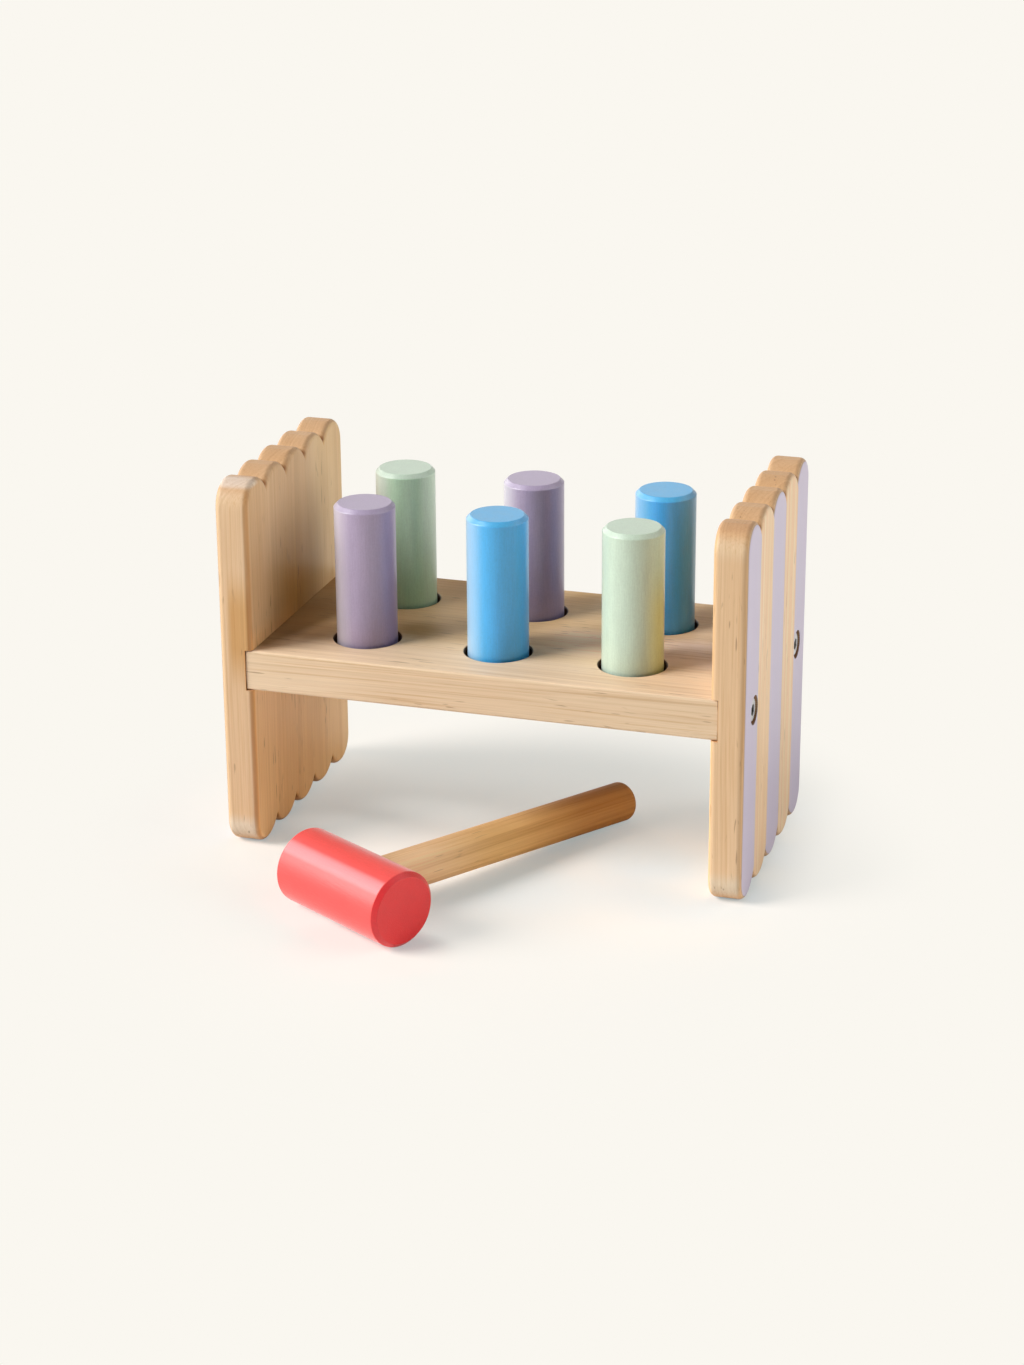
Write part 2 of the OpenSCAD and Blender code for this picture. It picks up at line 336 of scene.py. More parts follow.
def finish_wood(name, tones, heart, turn, ring, surface, patches_over):
    """A wood whose trunk has its heart at one place and its grain along one axis."""
    made, tree = empty_finish(name)
    grain = grain_of(tree, trunk_place(tree, heart, turn), ring)
    colour = wood_colour(tree, grain, across_grain(tree, turn), tones)
    colour = patches_over(tree, grain, colour)
    rough = surface["roughness"]
    sheen = span(tree, grain["fibres"], *NOISE_SWING, rough + 0.05, rough - 0.04)
    relief = sum_of(tree, "MULTIPLY_ADD", grain["late"], LATE_HEIGHT, grain["fibres"])
    inputs = {"Height": relief, "Strength": 0.35, "Distance": WOOD_RELIEF}
    bump = put(tree, "Bump", inputs).outputs[0]
    inputs = {"Base Color": colour, "Roughness": sheen, "Normal": bump, "IOR": 1.48,
              "Specular IOR Level": surface["gloss"]}
    shader = put(tree, "BsdfPrincipled", inputs)
    put(tree, "OutputMaterial", {"Surface": shader.outputs[0]})
    print("wood:", name, len(tree.nodes), "nodes")
    return made


def dress(material, *names):
    """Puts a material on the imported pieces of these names."""
    for name in names:
        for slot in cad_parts[name].material_slots:
            slot.material = material


# %% [markdown]
# ## The peg board
# The board is cut so that its rings lie nearly flat: wide soft streaks on top, fine close lines
# on the front edge. So the heart of its trunk is put well below the board and a little behind
# its middle. The board's own box gives the bench's middle line, which the patches are measured
# from, and its half thickness and end.

# %% Measure the board
board_low, board_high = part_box("peg_board")
BENCH_MIDDLE = (board_low.y + board_high.y) / 2
BOARD_MIDDLE = (board_low.z + board_high.z) / 2
BOARD_HALF = (board_high.z - board_low.z) / 2
BOARD_END = board_high.x
PEG_PITCH = 0.0617
ROW_HALF = 0.0275
HOLE_EDGE = 0.0154
# The middle and reach of a painted shadow of the front left peg on the board's top.
FRONT_PEG_SHADOW = (-0.042, BENCH_MIDDLE - 0.012, 0.095)
FRONT_PEG_SHADOW_REACH = (0.015, 0.011, 1.0)
SLANT = -0.35
print("board:", round(2 * BOARD_END, 4), "long,", round(2 * BOARD_HALF, 4), "thick")


def board_measures(tree):
    """Where a point of the board lies among the holes, and how level it is."""
    place = own_place(tree)
    x, y, z = parts_of(tree, place)
    inwards = sum_of(tree, "SUBTRACT", y, BENCH_MIDDLE)
    column = sum_of(tree, "DIVIDE", x, PEG_PITCH)
    beside = sum_of(tree, "SUBTRACT", column, sum_of(tree, "ROUND", column))
    beside = product(tree, beside, PEG_PITCH)
    behind = sum_of(tree, "SUBTRACT", sum_of(tree, "ABSOLUTE", inwards), ROW_HALF)
    facing_up = parts_of(tree, own_facing(tree))[2]
    return {
        "x": x,
        "inwards": inwards,
        "beside": beside,
        "askew": sum_of(tree, "MULTIPLY_ADD", inwards, SLANT, x),
        "out": sum_of(tree, "ABSOLUTE", x),
        "off_middle": off_by(tree, z, BOARD_MIDDLE),
        "levelness": sum_of(tree, "ABSOLUTE", facing_up),
        "from_hole": from_axis(tree, beside, behind),
        "from_front_peg_shadow": away_from(tree, place, FRONT_PEG_SHADOW, FRONT_PEG_SHADOW_REACH),
    }


# %% [markdown]
# ## The board's patches
# The top is paler than the front edge, and the whole board is a little paler on the left: both are
# painted light. The top is browner behind its front edge, as painted shade, and darker in painted
# shadows: by the left panel, of the front left peg, along the left half of its back and to the right
# of each back peg. A band of painted light runs through its right middle, between the pegs' shadows.
# The walls of the holes are painted dark, as shade in the holes, and the joints at the board's ends
# are dark. All but the joints are painted light and shade that the lamps here don't give, and they
# stay on the board under any other light.

# %% Dress the board
BOARD_TONES = {
    "pale": rgb(0.84, 0.60, 0.38), "deep": rgb(0.69, 0.475, 0.29),
    "cast": rgb(0.95, 0.92, 0.88), "line": rgb(0.86, 0.79, 0.70),
    "dash": rgb(0.26, 0.14, 0.07), "end": rgb(0.72, 0.60, 0.50),
}
# Painted light: the top paler than the front edge, and the left paler than the right.
BOARD_TOP = rgb(1.08, 1.11, 1.18)
BOARD_EDGE = rgb(0.94, 0.98, 1.02)
BOARD_LEFT = rgb(1.04, 1.09, 1.14)
BOARD_RIGHT = rgb(0.94, 0.96, 0.98)
BOARD_HEART = (0.0, BENCH_MIDDLE + 0.012, -0.045)
BOARD_RING = 1.9
LEVEL = ("levelness", 0.5, 0.9)
# Painted shade, shadows and a band of painted light on the top, shade in the holes, dark end joints.
BOARD_PATCHES = {
    "painted shade, browner inwards": (
        rgb(1.10, 0.99, 0.76),
        (LEVEL, ("inwards", -0.044, -0.012), ("x", 0.056, 0.084, *FALLING)),
    ),
    "painted shadow of the left panel": (
        rgb(0.42, 0.34, 0.22),
        (LEVEL, ("askew", -0.087, -0.077, *FALLING), ("inwards", -0.060, -0.048),
         ("inwards", -0.002, 0.030, 1.0, 0.6)),
    ),
    "painted shade along the back": (
        rgb(0.74, 0.68, 0.62),
        (LEVEL, ("x", -0.020, 0.020, *FALLING), ("inwards", 0.010, 0.045)),
    ),
    "painted shadow of the front left peg": (rgb(0.62, 0.52, 0.38), (LEVEL, ("from_front_peg_shadow", 0.2, 1.3, *FALLING))),
    "painted light between the peg shadows": (
        rgb(1.27, 1.34, 1.66),
        (LEVEL, ("x", 0.0, 0.030), ("inwards", -0.030, -0.014),
         ("inwards", 0.002, 0.014, *FALLING)),
    ),
    "painted shadow right of each back peg": (
        rgb(0.90, 0.84, 0.74),
        (LEVEL, ("beside", 0.004, 0.016), ("beside", 0.020, 0.030, *FALLING),
         ("inwards", 0.024, 0.038)),
    ),
    "painted shade in the holes": (
        rgb(0.16, 0.11, 0.08),
        (("from_hole", HOLE_EDGE, HOLE_EDGE + 0.0001, *FALLING),),
    ),
    "joints at the ends": (
        rgb(0.12, 0.08, 0.05),
        (("out", BOARD_END - 0.00025, BOARD_END - 0.0001),
         ("off_middle", BOARD_HALF - 0.006, BOARD_HALF - 0.002, 0.2, 1.0)),
    ),
}


def board_faces(tree, grain, colour):
    """A top and an edge of their own and a change from left to right, as painted light, and the
    patches.
    """
    measures = board_measures(tree)
    level = amount_in(tree, measures, (LEVEL,))
    colour = toned(tree, colour, 1.0, blend_colours(tree, level, BOARD_EDGE, BOARD_TOP))
    across = span(tree, measures["x"], -BOARD_END, BOARD_END)
    colour = toned(tree, colour, 1.0, blend_colours(tree, across, BOARD_LEFT, BOARD_RIGHT))
    return with_patches(tree, colour, measures, BOARD_PATCHES)


board_wood = finish_wood("board_wood", BOARD_TONES, BOARD_HEART, GRAIN_ALONG, BOARD_RING,
                         LACQUER, board_faces)
dress(board_wood, "peg_board")

# %% [markdown]
# ## Measures of an end panel
# The grain of the panels stands upright. Each has five lobes at the top and five at the foot, so
# a useful measure is the lobe, counted outwards from the middle line: the middle lobe ends at a
# half and the outer ones begin at one and a half. Other measures give the distance from the
# nearest valley between two lobes, from the middle of a brown patch on the strips, and from the
# middle of a brown patch inside that is partly painted shade.

# %% Measure the end panels
PANEL_INNER = 0.1046
LOBE_WIDTH = 0.024
VALLEY_HEIGHT = 0.0805
PATCH_PLACE = (0.0, 0.0, 0.105)
PATCH_REACH = (1.0, 1.0, 0.026)
# The middle, reach and waver of the brown inside the left panel, partly painted shade.
BROWN_SHADE_MIDDLE = (0.0, BENCH_MIDDLE - 0.004, 0.112)
BROWN_SHADE_REACH = (10.0, 0.029, 0.036)
BROWN_SHADE_WAVER = 0.5


def panel_measures(tree, grain):
    """Where a point of a panel lies, which way it faces, and how banded its wood is."""
    place = own_place(tree)
    x, y, z = parts_of(tree, place)
    facing = parts_of(tree, own_facing(tree))
    inwards = sum_of(tree, "SUBTRACT", y, BENCH_MIDDLE)
    height = sum_of(tree, "SUBTRACT", z, BOARD_MIDDLE)
    off_middle = sum_of(tree, "ABSOLUTE", height)
    lobe = sum_of(tree, "DIVIDE", sum_of(tree, "ABSOLUTE", inwards), LOBE_WIDTH)
    in_lobe = sum_of(tree, "SUBTRACT", sum_of(tree, "FRACT", lobe), 0.5)
    in_lobe = product(tree, in_lobe, LOBE_WIDTH)
    above_valley = sum_of(tree, "SUBTRACT", off_middle, VALLEY_HEIGHT)
    from_brown_shade = away_from(tree, place, BROWN_SHADE_MIDDLE, BROWN_SHADE_REACH)
    waver = sum_of(tree, "MULTIPLY_ADD", grain["broad"], BROWN_SHADE_WAVER, -BROWN_SHADE_WAVER / 2)
    return {
        "z": z,
        "inwards": inwards,
        "height": height,
        "off_middle": off_middle,
        "lobe": lobe,
        "out": sum_of(tree, "ABSOLUTE", x),
        "facing_x": facing[0],
        "edgeways": sum_of(tree, "ABSOLUTE", facing[1]),
        "cornering": product(tree, facing[0], facing[0], facing[1], facing[1]),
        "from_valley": from_axis(tree, in_lobe, above_valley),
        "from_patch": away_from(tree, place, PATCH_PLACE, PATCH_REACH),
        "from_brown_shade": sum_of(tree, "ADD", from_brown_shade, waver),
        "bands": grain["bands"],
    }


# %% [markdown]
# ## The panels' patches
# The narrow front and back strips are palest at the foot, and less yellow than the faces as a
# painted sheen. Inside the left panel, above the board, a brown patch is partly painted shade and
# partly the wood's own brown; how much is which can't be told from one picture. That inner face also
# has painted light just above the board and towards its back, and the left panel has a brown patch
# on its strips. Both inner faces have painted light below the board. The valleys between the lobes
# are darker, from end grain and from painted shade in the notches. The corners that turn to the
# right are browner on the left panel, as painted shade, and hardly change on the right one. The
# groove that houses the board is a little richer. The outer faces have a tone each, because the
# lamps light the left one far more: painted shade on the left one and painted light on the right
# one, so under even light the left one would look darker.

# %% Tones of the end panels
EDGE_STRIP = ("edgeways", 0.6, 0.95)
FOOT = ("z", 0.010, 0.017, *FALLING)
CAP = ("z", 0.1685, 0.1705)
NEAREST_LOBE = ("inwards", -0.050, -0.044, *FALLING)
INNER_FACE = ("out", PANEL_INNER + 0.0002, PANEL_INNER + 0.0008, *FALLING)
OUTER_FACE = ("out", 0.1190, 0.1198)
UPPER_HALF = ("height", 0.0, 0.001)
BELOW_BOARD = ("height", -BOARD_HALF - 0.001, -BOARD_HALF, *FALLING)
RIGHT_CORNER = (("cornering", 0.03, 0.16), ("facing_x", 0.0, 0.1))
# Painted sheen on the strips, painted light below the board, painted shade with end grain in
# valleys.
BOTH_PANELS = {
    "painted sheen on the strips": (rgb(0.95, 1.02, 1.17), (EDGE_STRIP,)),
    "outer bands": (rgb(1.0, 0.90, 0.84), (OUTER_FACE, ("bands", 0.42, 0.58))),
    "painted light below the board": (rgb(1.30, 1.35, 1.28), (INNER_FACE, BELOW_BOARD)),
    "end grain and painted shade in the valleys": (
        rgb(0.52, 0.39, 0.29),
        (("from_valley", 0.0004, 0.0022, *FALLING), ("lobe", 1.9, 2.0, *FALLING)),
    ),
    "groove for the board": (
        rgb(1.10, 0.95, 0.80),
        (("off_middle", BOARD_HALF + 0.00015, BOARD_HALF + 0.00035, *FALLING),
         ("out", PANEL_INNER + 0.0036, PANEL_INNER + 0.0038, *FALLING)),
    ),
}
# Left panel: painted shade on the outer face and right corners, painted light on the inner face.
LEFT_PANEL = {
    "painted light and shade on the outer face": (rgb(0.66, 0.70, 0.76), (OUTER_FACE,)),
    "brown patch": (
        rgb(0.84, 0.70, 0.47),
        (EDGE_STRIP, ("from_patch", 0.3, 1.2, *FALLING), ("out", 0.1135, 0.1165, *FALLING)),
    ),
    "foot": (rgb(1.04, 1.26, 1.62), (EDGE_STRIP, FOOT)),
    "cap of the nearest lobe": (rgb(1.20, 1.55, 2.30), (NEAREST_LOBE, CAP)),
    "painted light just above the board": (
        rgb(1.24, 1.14, 0.96),
        (INNER_FACE, UPPER_HALF, ("height", BOARD_HALF, BOARD_HALF + 0.012, *FALLING),
         ("inwards", -0.020, 0.004, *FALLING)),
    ),
    "heartwood": (
        rgb(0.60, 0.45, 0.17),
        (INNER_FACE, UPPER_HALF, ("from_brown_shade", 0.15, 1.5, *FALLING)),
    ),
    "painted light at the back of the inner face": (
        rgb(1.12, 1.18, 1.15),
        (INNER_FACE, UPPER_HALF, ("inwards", 0.012, 0.034)),
    ),
    "painted shade on the right corners": (rgb(0.90, 0.76, 0.60), RIGHT_CORNER),
}
# Right panel: painted light on the outer face, and slight painted shade on the right corners.
RIGHT_PANEL = {
    "painted light and shade on the outer face": (rgb(1.28, 1.50, 1.82), (OUTER_FACE,)),
    "foot": (rgb(0.99, 1.14, 1.34), (EDGE_STRIP, FOOT)),
    "cap of the nearest lobe": (rgb(0.95, 0.93, 0.95), (NEAREST_LOBE, CAP)),
    "below that cap": (
        rgb(1.02, 1.08, 1.15),
        (NEAREST_LOBE, EDGE_STRIP, ("z", 0.1560, 0.1630), ("z", 0.1650, 0.1685, *FALLING)),
    ),
    "painted shade on the right corners": (rgb(1.02, 0.98, 0.92), RIGHT_CORNER),
}
print("patches:", len(BOTH_PANELS), "on both,", len(LEFT_PANEL), "left,", len(RIGHT_PANEL), "right")

# %% [markdown]
# ## Stripes and recesses
# The outer faces carry broad lilac stripes over the middle and the two outer lobes. They were
# rolled on before the edges were rounded, so the rounding has cut back to bare wood and left a
# fine darker line. The stripe is a layer over the wood: a mask by place says where it lies, and
# the fibres make its edge waver and its film thin. The recesses of the screws are bare wood,
# painted darker as shade in the recess.

# %% Paint the stripes and darken the recesses
PAINTED_FACE = 0.12
FILM = (PAINTED_FACE - 0.00030, PAINTED_FACE - 0.00024)
LINE = (PAINTED_FACE - 0.00062, PAINTED_FACE - 0.00052)
LINE_STRENGTH = 0.5
STRIPE_WAVER = 0.05
STRIPE_EDGE = rgb(0.30, 0.20, 0.16)
SCREW_OFFSET = 0.0425
RECESS_EDGE = 0.00655
# Painted shade on the bare wood of the screws' recesses.
RECESS_SHADE = rgb(0.42, 0.28, 0.18)


def lilac_stripes(tree, grain, colour, measures, lilac):
    """Lays lilac over the middle and the outer lobes of the outer face, with a dark edge."""
    waver = sum_of(tree, "MULTIPLY_ADD", grain["fibres"], STRIPE_WAVER, -STRIPE_WAVER / 2)
    lobe = sum_of(tree, "ADD", measures["lobe"], waver)
    middle_lobe = span(tree, lobe, 0.49, 0.51, *FALLING)
    stripe = sum_of(tree, "MAXIMUM", middle_lobe, span(tree, lobe, 1.49, 1.51))
    line = product(tree, span(tree, measures["out"], *LINE), stripe, LINE_STRENGTH)
    colour = blend_colours(tree, line, colour, STRIPE_EDGE)
    thin = span(tree, grain["fibres"], 0.35, 0.65, 0.97, 0.90)
    film = product(tree, span(tree, measures["out"], *FILM), stripe, thin)
    return blend_colours(tree, film, colour, lilac)


def from_screw(tree):
    """The distance from the nearest screw's axis, which runs along the bench."""
    place = parts_of(tree, own_place(tree))
    aside = sum_of(tree, "SUBTRACT", off_by(tree, place[1], BENCH_MIDDLE), SCREW_OFFSET)
    return from_axis(tree, aside, sum_of(tree, "SUBTRACT", place[2], BOARD_MIDDLE))


# %% [markdown]
# ## Dressing the panels
# Both panels share one recipe. Each gets its own trunk, so that their streaks differ, its own
# patches, and its own lilac: the left one is darker, as painted shade, because the left outer face
# has more light than the right one.

# %% Dress the end panels
PANEL_TONES = {
    "pale": rgb(0.785, 0.525, 0.292), "deep": rgb(0.645, 0.405, 0.205),
    "cast": rgb(0.95, 0.91, 0.85), "line": rgb(0.93, 0.88, 0.81),
    "dash": rgb(0.24, 0.12, 0.055), "end": rgb(0.82, 0.78, 0.80),
}
# The left lilac is darker than the right one, as painted shade.
PANEL_LOOKS = {
    "left": {"heart": (-0.215, BENCH_MIDDLE + 0.035, 0.0), "ring": 1.6,
             "patches": LEFT_PANEL, "lilac": rgb(0.4032, 0.36225, 0.4719)},
    "right": {"heart": (0.205, BENCH_MIDDLE - 0.050, 0.0), "ring": 1.5,
              "patches": RIGHT_PANEL, "lilac": rgb(0.63, 0.575, 0.715)},
}


def panel_faces(look):
    """The patches, stripes and recesses of one panel, as one step for its wood."""
    def over(tree, grain, colour):
        measures = panel_measures(tree, grain)
        colour = with_patches(tree, colour, measures, BOTH_PANELS)
        colour = with_patches(tree, colour, measures, look["patches"])
        colour = lilac_stripes(tree, grain, colour, measures, look["lilac"])
        sunk = span(tree, from_screw(tree), RECESS_EDGE, RECESS_EDGE + 0.0001, *FALLING)
        return toned(tree, colour, sunk, RECESS_SHADE)
    return over


for end, look in PANEL_LOOKS.items():
    panel_wood = finish_wood(end + "_panel_wood", PANEL_TONES, look["heart"], GRAIN_UP,
                             look["ring"], LACQUER, panel_faces(look))
    dress(panel_wood, end + "_end_panel")

# %% [markdown]
# ## Paint
# The pegs and the mallet's head are sprayed with a satin paint that is thick enough to hide the
# colour of the wood but not its fibres: they stay as a faint relief with short open grooves, and
# as a slight change of tone. A fine mottle is the spray itself. Coat and sheen give the soft
# bright rim of a satin paint, and stay on the shader's own sockets.

# %% Make a paint
PAINT_NOISE = {
    "fibres": (0.36, 9.0, 3.0, 0.65),
    "grooves": (0.5, 4.0, 0.0, 0.5),
    "broad": (6.0, 60.0, 2.0, 0.5),
    "mottle": (0.7, 0.9, 2.0, 0.5),
}
FIBRE_TINT = 0.45
BROAD_TINT = 0.25
MOTTLE_TINT = 0.30
GROOVE_DEPTH = -0.8


def finish_paint(name, paint, heart, turn, film, patches_over):
    """A satin paint over wood, with the wood's fibres showing through as relief."""
    made, tree = empty_finish(name)
    place = trunk_place(tree, heart, turn)
    noise = {kind: cloud(tree, place, *row)[0] for kind, row in PAINT_NOISE.items()}
    tint = product(tree, noise["broad"], BROAD_TINT)
    tint = sum_of(tree, "MULTIPLY_ADD", noise["fibres"], FIBRE_TINT, tint)
    tint = sum_of(tree, "MULTIPLY_ADD", noise["mottle"], MOTTLE_TINT, tint)
    shade = span(tree, tint, 0.35, 0.65, 1.0 - film["tone"], 1.0 + film["tone"])
    inputs = {0: paint[:3], "Scale": shade}
    colour = put(tree, "VectorMath", inputs, operation="SCALE").outputs[0]
    rough = film["roughness"]
    sheen = span(tree, noise["broad"], *NOISE_SWING, rough - 0.03, rough + 0.04)
    grooves = span(tree, noise["grooves"], 0.55, 0.75)
    height = sum_of(tree, "MULTIPLY_ADD", grooves, GROOVE_DEPTH, noise["fibres"])
    inputs = {"Height": height, "Strength": 0.5, "Distance": film["relief"]}
    bump = put(tree, "Bump", inputs).outputs[0]
    inputs = {"Base Color": patches_over(tree, place, colour), "Roughness": sheen,
              "Normal": bump, "IOR": 1.5, "Coat Weight": film["coat"], "Coat Roughness": 0.25,
              "Sheen Weight": 0.30, "Sheen Roughness": 0.35}
    shader = put(tree, "BsdfPrincipled", inputs)
    put(tree, "OutputMaterial", {"Surface": shader.outputs[0]})
    print("paint:", name, len(tree.nodes), "nodes")
    return made


# %% [markdown]
# ## The pegs
# Three paints dress six pegs, and in the room's light no two pegs look quite alike. All but the
# front right one have a painted sheen, paler and chalkier, on the side of the window, and each has
# painted light and shade on the right side, and most on the front side or low down, near the board.
# A table gives each peg these tones. They stand in for light and shade that the wood and the other
# pegs throw on them, more than the lamps here give, so they are painted light and shade and not a
# property of the paint.

# %% Choose the looks of the pegs
LILAC = rgb(0.385, 0.312, 0.448)
GREEN = rgb(0.505, 0.625, 0.50)
BLUE = rgb(0.058, 0.38, 0.70)
EVEN = rgb(1.0, 1.0, 1.0)
WINDOW_SIDE = (-0.95, -0.31, 0.0)
RIGHT_SIDE = (0.954, 0.301, 0.0)
FRONT_SIDE = (0.301, -0.954, 0.0)
FRONT_RIGHT_SIDE = (0.760, -0.649, 0.0)
# Each peg's painted sheen, and its painted light and shade on the right, front and low sides.
PEG_LOOKS = {
    "front_left": {
        "paint": LILAC, "painted_sheen": 0.42, "right": rgb(0.76, 0.73, 0.84),
        "front": EVEN, "low": rgb(0.84, 0.82, 0.86),
    },
    "front_middle": {
        "paint": BLUE, "painted_sheen": 0.34, "right": rgb(0.70, 1.06, 1.22),
        "front": rgb(1.0, 1.06, 1.12), "low": rgb(0.92, 1.0, 1.08),
    },
    "front_right": {
        "paint": GREEN, "painted_sheen": 0.0, "right": rgb(1.15, 1.04, 0.65),
        "front": EVEN, "low": EVEN, "right_high": rgb(1.02, 1.14, 1.22),
    },
    "back_left": {
        "paint": GREEN, "painted_sheen": 0.32, "right": rgb(1.08, 1.15, 1.08),
        "front": rgb(0.95, 1.10, 0.98), "low": rgb(0.70, 0.76, 0.64),
    },
    "back_middle": {
        "paint": LILAC, "painted_sheen": 0.46, "right": rgb(0.88, 0.88, 0.94),
        "front": rgb(0.76, 0.75, 0.80), "low": rgb(0.88, 0.87, 0.91),
        "front_at": FRONT_RIGHT_SIDE,
    },
    "back_right": {
        "paint": BLUE, "painted_sheen": 0.22, "right": rgb(0.86, 0.75, 0.86),
        "front": rgb(0.92, 0.98, 1.18), "low": rgb(0.92, 0.94, 0.96),
    },
}
print("pegs:", ", ".join(PEG_LOOKS))

# %% [markdown]
# ## Painting the pegs
# One step lays a peg's painted sheen and its painted light and shade over its paint. It goes by the
# way that the surface faces and by its height in the imported model, both in the peg's own
# coordinates, so a peg that is driven down keeps its look. The fibres under the paint run up the
# peg.

# %% Dress the pegs
# The white of the painted sheen on the window side.
SHEEN_WHITE = rgb(0.85, 0.86, 0.86)
PEG_HEART = (0.3, 0.2, 0.0)
PEG_FILM = {"roughness": 0.40, "relief": 0.00005, "tone": 0.075, "coat": 0.5}
PEG_RIGHT = ("right", 0.25, 0.90)
PEG_FRONT = ("front", 0.72, 0.97)
PEG_LOW = (("z", 0.100, 0.140, *FALLING), ("right", -0.7, 0.1))
PEG_HIGH = ("z", 0.120, 0.146)


def peg_sides(look):
    """The painted sheen and the painted light and shade of one peg, as one step for its paint."""
    def over(tree, place, colour):
        measures = {
            "z": parts_of(tree, own_place(tree))[2],
            "right": facing_towards(tree, RIGHT_SIDE),
            "front": facing_towards(tree, look.get("front_at", FRONT_SIDE)),
        }
        # Painted sheen on the side towards the window.
        facing_window = facing_towards(tree, WINDOW_SIDE)
        painted_sheen = span(tree, facing_window, 0.40, 1.0, 0.0, look["painted_sheen"])
        colour = blend_colours(tree, painted_sheen, colour, SHEEN_WHITE)
        right_high = look.get("right_high", look["right"])
        high = amount_in(tree, measures, (PEG_HIGH,))
        right_tone = blend_colours(tree, high, look["right"], right_high)
        patches = {
            "right": (right_tone, (PEG_RIGHT,)),
            "front": (look["front"], (PEG_FRONT,)),
            "low": (look["low"], PEG_LOW),
        }
        return with_patches(tree, colour, measures, patches)
    return over


for peg, look in PEG_LOOKS.items():
    paint = finish_paint(peg + "_paint", look["paint"], PEG_HEART, GRAIN_UP, PEG_FILM,
                         peg_sides(look))
    dress(paint, "peg_" + peg)

# %% [markdown]
# ## The mallet's head
# The head has the same kind of paint in coral, with less coat and a deeper relief, and its
# fibres along the head. Its two end faces are deeper in colour and the bevels round them deepest.
# A narrow line along its upper front is a painted highlight. The radius and the distance along the
# head tell its ends from its bevels, so no faces need to be picked out.

# %% Dress the mallet's head
CORAL = rgb(0.82, 0.068, 0.062)
CORAL_FILM = {"roughness": 0.42, "relief": 0.00008, "tone": 0.06, "coat": 0.12}
HEAD_MIDDLE = (-0.0362, -0.075475, 0.0169)
HEAD_UPPER_FRONT = (-0.3214, -0.5567, 0.7660)
END_FACE = ("along", 31.4, 31.6)
# The ends' deeper colour, and a painted highlight along the upper front.
HEAD_PATCHES = {
    "flat of each end": (
        rgb(0.97, 0.34, 0.42),
        (END_FACE, ("radius", 14.65, 14.95, *FALLING)),
    ),
    "bevel round each end": (rgb(0.90, 0.30, 0.42), (END_FACE, ("radius", 14.65, 14.95))),
    "painted highlight": (rgb(1.0, 3.5, 4.0), (("upper_front", 0.970, 1.0),)),
}


def head_faces(tree, place, colour):
    """The patches of the head, measured in millimetres from its middle."""
    x, y, z = parts_of(tree, place)
    measures = {
        "radius": from_axis(tree, x, y),
        "along": sum_of(tree, "ABSOLUTE", z),
        "upper_front": facing_towards(tree, HEAD_UPPER_FRONT),
    }
    return with_patches(tree, colour, measures, HEAD_PATCHES)


coral = finish_paint("coral_paint", CORAL, HEAD_MIDDLE, HEAD_GRAIN, CORAL_FILM, head_faces)
dress(coral, "mallet_head")

# %% [markdown]
# ## The mallet's handle
# The handle is a darker wood, oiled and not lacquered, with long brown streaks and short open
# pores along it. It is paler by the head and darker towards the tip, partly its own tone and partly
# painted light and shade, and its upper side is darker as painted shade. Its trunk is turned with
# the mallet, which lies askew.

# %% Dress the mallet's handle
HANDLE_TONES = {
    "pale": rgb(0.70, 0.425, 0.205), "deep": rgb(0.55, 0.305, 0.135),
    "cast": rgb(0.92, 0.88, 0.82), "line": rgb(0.88, 0.82, 0.74),
    "dash": rgb(0.36, 0.20, 0.09), "end": rgb(0.70, 0.58, 0.48),
}
HANDLE_HEART = (-0.015, -0.05, 0.03)
HANDLE_RING = 2.6
OIL = {"roughness": 0.52, "gloss": 0.12}
HANDLE_UPPER_SIDE = (-0.40, 0.23, 0.887)
# Painted shade on the upper side; by the head and at the tip, own tone and painted light and shade.
UPPER_SIDE_SHADE = rgb(0.70, 0.64, 0.62)
BY_HEAD_TONE_AND_LIGHT = rgb(1.50, 1.70, 1.62)
NECK_TONE_AND_LIGHT = rgb(1.11, 1.20, 1.60)
TIP_TONE_AND_SHADE = rgb(0.93, 0.88, 0.74)
METRES = (1.0, 1.0, 1.0)


def handle_ends(tree, grain, colour):
    """Pale at the head and darker at the tip, partly painted light and shade; painted shade on top.
    """
    away = away_from(tree, own_place(tree), HEAD_MIDDLE, METRES)
    upper = span(tree, facing_towards(tree, HANDLE_UPPER_SIDE), 0.35, 0.95)
    colour = toned(tree, colour, upper, UPPER_SIDE_SHADE)
    by_head = toned(tree, colour, 1.0, BY_HEAD_TONE_AND_LIGHT)
    by_head = toned(tree, by_head, span(tree, away, 0.035, 0.080, *FALLING), NECK_TONE_AND_LIGHT)
    at_tip = toned(tree, colour, 1.0, TIP_TONE_AND_SHADE)
    return blend_colours(tree, span(tree, away, 0.085, 0.140), by_head, at_tip)


handle_wood = finish_wood("handle_wood", HANDLE_TONES, HANDLE_HEART, HANDLE_GRAIN, HANDLE_RING,
                          OIL, handle_ends)
dress(handle_wood, "mallet_handle")

# %% [markdown]
# ## Screws and rings
# The screws are zinc-plated steel and the hidden rings are rubber. Neither has grain or layers,
# so a simpler recipe does: one cloud changes their tone, their sheen and their relief a little,
# which keeps them from looking cast in plastic.

# %% Make a plain finish
PLAIN_RELIEF = 0.00001


